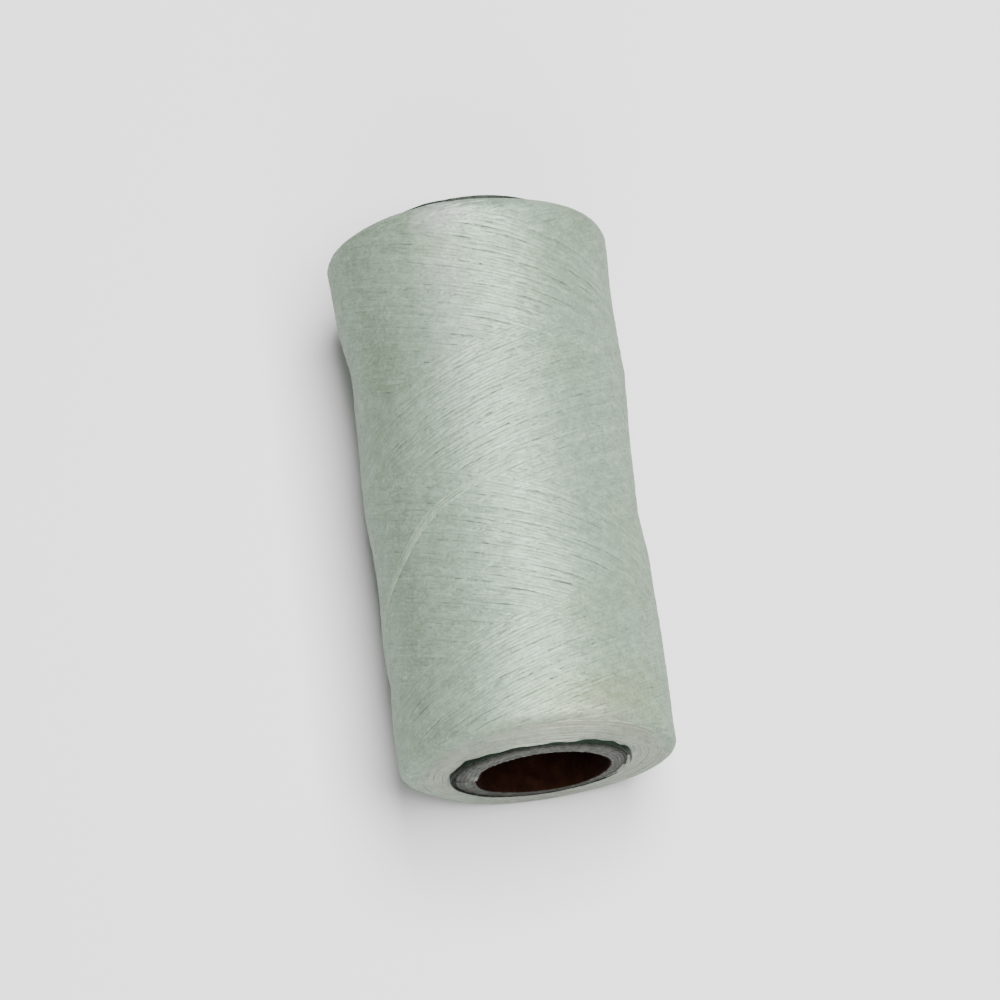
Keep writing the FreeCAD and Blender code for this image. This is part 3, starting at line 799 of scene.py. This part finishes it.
# ------------------------------------------------------------- the paper tube
def tube(name, r_in, r_out, near, far, material, slit=True, torn=None, seam=None,
         roughen=0.04, columns=240, rows=40, key=0, edge=0.12):
    """One ply of the tube, closed, with the catch slit cut through its near end.

    near, far: places of its two ends as functions of the angle. torn: how far
    the near end has come away, as a function of the angle. seam: the climb of
    its butt seam in one turn, a shallow groove on its inner and outer side.
    """
    slit_half = math.degrees(math.asin(0.4 / ((r_in + r_out) / 2)))
    theta = np.concatenate([
        [-90 + slit_half],
        -90 + slit_half + (360 - 2 * slit_half) * (np.arange(1, columns) / columns),
        [-90 - slit_half + 360]])
    k = len(theta)
    y_slit = Y_LOW + 7.0
    lo = near(theta) + (torn(theta) if torn is not None else 0.0)
    hi = far(theta)
    thick = r_out - r_in
    bevel = min(edge, thick * 0.28)
    # rows of the outer side from the near end to the far end
    u = np.concatenate([np.linspace(0, 1, 9), [0.0]])[:-1]
    near_rows = [lo + bevel + (y_slit - lo - bevel) * q for q in u]
    far_rows = [y_slit + (hi - bevel - y_slit) * q for q in np.linspace(0, 1, rows)[1:]]
    ys = np.array(near_rows + far_rows)                    # rows x columns
    cut_row = len(near_rows) - 1
    rough_out = wave(50 + key, 9, 60, 10)
    rough_in = wave(90 + key, 9, 60, 10)

    def groove(theta_, y_, sign):
        if seam is None:
            return 0.0
        phase = (y_ - seam * theta_ / 360.0) / seam % 1.0
        d = np.minimum(phase, 1 - phase) * seam * 0.9
        return -sign * 0.10 * np.exp(-(d / 0.35) ** 2)

    def ring(r, y_, sign):
        t = np.radians(theta)
        worn = mouth(theta, y_) * np.clip((PLY_R[5] - r) / (PLY_R[5] - BORE_R), 0, 1)
        rr = r + worn + groove(theta, y_, sign) + sign * roughen * 0.3 * (
            rough_out(theta + y_ * 4) if sign > 0 else rough_in(theta + y_ * 3))
        return np.stack([rr * np.sin(t), y_ + 0 * t, rr * np.cos(t)], -1)

    loops = []
    n = len(ys)
    for i in range(n):
        loops.append(ring(r_out, ys[i], 1))
    fray = wave(130 + key, 20, 90, 16)(theta) * roughen
    loops.append(ring(r_out - bevel * 0.6, hi - bevel * 0.15 + fray, 1))
    loops.append(ring((r_out + r_in) / 2, hi + fray * 0.6, 1))
    loops.append(ring(r_in + bevel * 0.6, hi - bevel * 0.15 + fray, 1))
    for i in range(n - 1, -1, -1):
        loops.append(ring(r_in, ys[i], -1))
    fray2 = wave(170 + key, 20, 90, 16)(theta) * roughen
    loops.append(ring(r_in + bevel * 0.6, lo + bevel * 0.15 + fray2, -1))
    loops.append(ring((r_out + r_in) / 2, lo + fray2 * 0.6, -1))
    loops.append(ring(r_out - bevel * 0.6, lo + bevel * 0.15 + fray2, -1))
    grid = np.array(loops)
    m = len(grid)
    outer = list(range(n))
    inner = [n + 3 + (n - 1 - i) for i in range(n)]        # inner row beside outer row i
    near_mid = [m - 3, m - 2, m - 1]
    faces = []
    for i in range(m):
        i2 = (i + 1) % m
        for j in range(k - 1):
            faces.append((i * k + j, i * k + j + 1, i2 * k + j + 1, i2 * k + j))
    # across the slit: whole beyond it, open before it
    a, b = 0, k - 1
    if slit:
        for i in range(cut_row, inner[cut_row]):
            faces.append((i * k + b, i * k + a, (i + 1) * k + a, (i + 1) * k + b))
        o, w = cut_row, inner[cut_row]
        faces.append((o * k + a, o * k + b, w * k + b, w * k + a))
        for i in range(cut_row):
            for c, flip in ((a, False), (b, True)):
                quad = (outer[i] * k + c, outer[i + 1] * k + c, inner[i + 1] * k + c, inner[i] * k + c)
                faces.append(quad[::-1] if flip else quad)
        for c, flip in ((a, False), (b, True)):
            q1 = (outer[0] * k + c, inner[0] * k + c, near_mid[0] * k + c, near_mid[1] * k + c)
            q2 = (outer[0] * k + c, near_mid[1] * k + c, near_mid[2] * k + c, near_mid[2] * k + c)
            faces.append(q1[::-1] if flip else q1)
            t1 = (outer[0] * k + c, near_mid[1] * k + c, near_mid[2] * k + c)
            faces.append(t1[::-1] if flip else t1)
    quads = np.array([f for f in faces if len(f) == 4])
    tris = [f for f in faces if len(f) == 3]
    attr = np.zeros((m, k, 3))
    attr[..., 0] = theta[None, :] * 0.25
    attr[..., 1] = grid[..., 1]
    attr[..., 2] = 0.5
    build = Build()
    build.add(grid.reshape(-1, 3), quads, attr.reshape(-1, 3))
    if tris:
        build.f.append(np.array(tris))
    return build.make(name, material)


def mouth(theta, y):
    """How far the bore's mouth is worn outwards at the lower left and the right, and
    pushed in beside the slit."""
    t = from_top(theta)
    return ((0.30 * np.exp(-((t + 125.0) / 18.0) ** 2) + 0.50 * np.exp(-((t - 88.0) / 24.0) ** 2)
             - 0.75 * np.exp(-((t + 82.0) / 15.0) ** 2))
            * np.exp(-np.clip(y - Y_LOW, 0, None) / 2.4))


def level(value, seed, amount):
    w = wave(seed, 1, 9, 7)
    return lambda theta: value + amount * w(theta)


def proud(value, seed, amount, share):
    """A near end that stands out more towards the bore, most of all low down."""
    w = wave(seed, 1, 9, 7)

    def at(theta):
        out = (0.35 + 0.07 * (1 - np.cos(np.radians(theta)))
               + 0.25 * np.exp(-((from_top(theta) - 130.0) / 35.0) ** 2))
        return value + amount * w(theta) - share * out
    return at


def peeled(depth, width, seed):
    """The near end has come away below the slit, ragged, deepest beside it."""
    w = wave(seed, 20, 80, 12)

    def at(theta):
        t = (-90 - np.asarray(theta, float)) % 360.0       # degrees below the slit
        shape = np.exp(-(t / width) ** 2) * (t < 180)
        return depth * shape * (1 + 0.18 * w(theta))
    return at


tube_pieces = []
liner_piece = tube("core_liner_kraft", BORE_R, LINER_R, proud(Y_LOW + 0.08, 5, 0.05, 1.0),
                   level(Y_HIGH - 0.10, 6, 0.05), KRAFT_AND_BORE_SHADE, torn=peeled(0.9, 14.0, 71),
                   seam=64.0, roughen=0.05, rows=60, key=1)
edges = [LINER_R] + PLY_R
for i, (share, stock) in enumerate(((1.0, BOARD), (0.85, BOARD), (0.60, BOARD), (0.38, BOARD_DARK),
                                    (0.12, BOARD_DARKER), (-0.75, BOARD_DARKEST))):
    piece = tube("core_board_%d" % (i + 1), edges[i] + 0.004, edges[i + 1] - 0.004,
                 proud(Y_LOW + 0.04 + 0.01 * (i % 3), 11 + i, 0.05, share),
                 level(Y_HIGH - 0.04 - 0.03 * (i % 3), 21 + i, 0.06), stock,
                 torn=(peeled(0.8, 12.0, 73), peeled(0.4, 9.0, 75), None, None, None, None)[i],
                 roughen=0.10, rows=8, key=3 + i, edge=0.06)
    tube_pieces.append(piece)
wrap_end = level(Y_HIGH - 0.06, 42, 0.05)
wrap_piece = tube("core_green_wrap", PLY_R[5], CORE_R, level(Y_LOW + 0.06, 41, 0.07),
                  lambda theta: (wrap_end(theta) + 0.18 * np.exp(-((from_top(theta) + 23.0) / 10.0) ** 2)
                                 - 0.10 * np.exp(-((from_top(theta) - 45.0) / 15.0) ** 2)), GREEN, seam=78.0, roughen=0.03, rows=60, key=11)


# ------------------------------------------------------ the thread's inner end
def inner_end():
    """The start of the thread, pinched in the slit and bent up under the winding."""
    low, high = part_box("thread_inner_end")
    x0, x1 = low.x / MM, high.x / MM
    y = (low.y + high.y) / 2 / MM
    t = np.linspace(0, 1, 14)
    px = x1 + (x0 - x1) * t
    py = y + 0.25 * np.sin(t * 3.0) - 0.10
    pz = 0.06 * np.sin(t * 5.0)
    build = Build()
    k = len(SECTION)
    verts = []
    for i in range(len(t)):
        half_w = 0.46 * (0.55 if i in (0,) else 1.0)
        half_t = 0.17
        for a, b in SECTION:
            verts.append((px[i], py[i] + a * half_w, pz[i] + b * half_t))
    m = len(t)
    i = np.arange(m - 1)[:, None] * k
    j = np.arange(k)[None, :]
    j2 = (j + 1) % k
    faces = np.stack([i + j, i + j2, i + k + j2, i + k + j], -1).reshape(-1, 4)
    attr = np.zeros((m, k, 3))
    attr[..., 0] = (t * 4)[:, None]
    attr[..., 1] = SECTION[:, 0][None, :]
    attr[..., 2] = 0.5
    build.add(np.array(verts), faces, attr.reshape(-1, 3))
    a = np.arange(k)
    c = (m - 1) * k + np.arange(k)[::-1]
    build.f.append(np.array([(a[0], a[7], a[2], a[1]), (a[7], a[6], a[3], a[2]),
                             (a[6], a[5], a[4], a[3])]))
    build.f.append(np.array([(c[0], c[7], c[2], c[1]), (c[7], c[6], c[3], c[2]),
                             (c[6], c[5], c[4], c[3])]))
    return build.make("thread_inner_end_strand", THREAD_END)


inner_piece = inner_end()

# ------------------------------------------------------------- what rides what
for piece, slot_name in ((body_piece, "thread"), (face_near, "thread"), (face_far, "thread"),
                         (outer_piece, "thread"), (inner_piece, "thread"),
                         (liner_piece, "liner_kraft"), (wrap_piece, "core_wrap")):
    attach(piece, "root")
for piece in strand_pieces:
    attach(piece, "root")
for number, piece in enumerate(tube_pieces):
    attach(piece, "root")
    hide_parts("core_board_ply_%d" % (number + 1))
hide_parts("thread_winding")
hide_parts("thread_outer_end")
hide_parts("thread_inner_end")
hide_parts("core_inner_liner")
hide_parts("core_outer_wrap")

# ------------------------------------------------------------ floor and light
FLOOR = CAD_LOW[2] - 0.00002


def floor():
    m, nodes, links, shader = new_material("floor_paper")
    shader.inputs["Base Color"].default_value = (0.64, 0.64, 0.64, 1)
    shader.inputs["Roughness"].default_value = 0.9
    shader.inputs["Specular IOR Level"].default_value = 0.1
    mesh = bpy.data.meshes.new("floor")
    e = 4.0
    mesh.from_pydata([(-e, -e, FLOOR), (e, -e, FLOOR), (e, e, FLOOR), (-e, e, FLOOR)], [], [(0, 1, 2, 3)])
    mesh.materials.append(m)
    o = bpy.data.objects.new("floor", mesh)
    bpy.context.scene.collection.objects.link(o)


def lamp(name, place, target, size, power, colour=(1, 1, 1), lengthwise=False):
    data = bpy.data.lights.new(name, "AREA")
    data.shape = "RECTANGLE"
    data.size, data.size_y = size
    data.energy = power
    data.color = colour
    o = bpy.data.objects.new(name, data)
    o.location = place
    o.rotation_euler = (Vector(target) - Vector(place)).to_track_quat("-Z", "Y").to_euler()
    if lengthwise:                                          # size[1] runs along the reel
        z = (Vector(place) - Vector(target)).normalized()
        x = Vector((0, 1, 0)).cross(z).normalized()
        o.rotation_euler = Matrix((x, z.cross(x), z)).transposed().to_euler()
    bpy.context.scene.collection.objects.link(o)
    return o


floor()
lamp("key", (0.245, 0.04, 1.20), (0, 0, 0), (0.60, 1.10), 64.0, lengthwise=True)
lamp("fill_front", (-0.05, -0.85, 0.75), (0, 0, 0), (0.7, 0.7), 6.8)

world = bpy.data.worlds.new("studio")
bpy.context.scene.world = world
world.use_nodes = True
world.node_tree.nodes["Background"].inputs[0].default_value = (1, 1, 1, 1)
world.node_tree.nodes["Background"].inputs[1].default_value = 0.02

# --------------------------------------------------------------------- camera
ELEVATION, AZIMUTH = math.radians(71.98), math.radians(-7.99)
SCALE = 12.7 / 12.25
DISTANCE = 1100.0 * SCALE * MM
centre = Vector((0, (W_LOW + W_HIGH) / 2 * MM, 0))
back = Vector((math.sin(AZIMUTH) * math.cos(ELEVATION), -math.cos(AZIMUTH) * math.cos(ELEVATION),
               math.sin(ELEVATION)))
camera = bpy.data.cameras.new("camera")
camera.sensor_width = 36.0
camera.sensor_fit = "HORIZONTAL"
camera.lens = 5885.0 * 36.0 / 1000.0
camera.clip_start, camera.clip_end = 0.01, 20.0
camera.shift_x = (500.0 - 501.87) / 1000.0
camera.shift_y = (502.94 - 500.0) / 1000.0
camera_object = bpy.data.objects.new("camera", camera)
camera_object.location = centre + back * DISTANCE
camera_object.rotation_euler = back.to_track_quat("Z", "Y").to_euler()
bpy.context.scene.collection.objects.link(camera_object)
bpy.context.scene.camera = camera_object

bpy.context.view_layer.update()
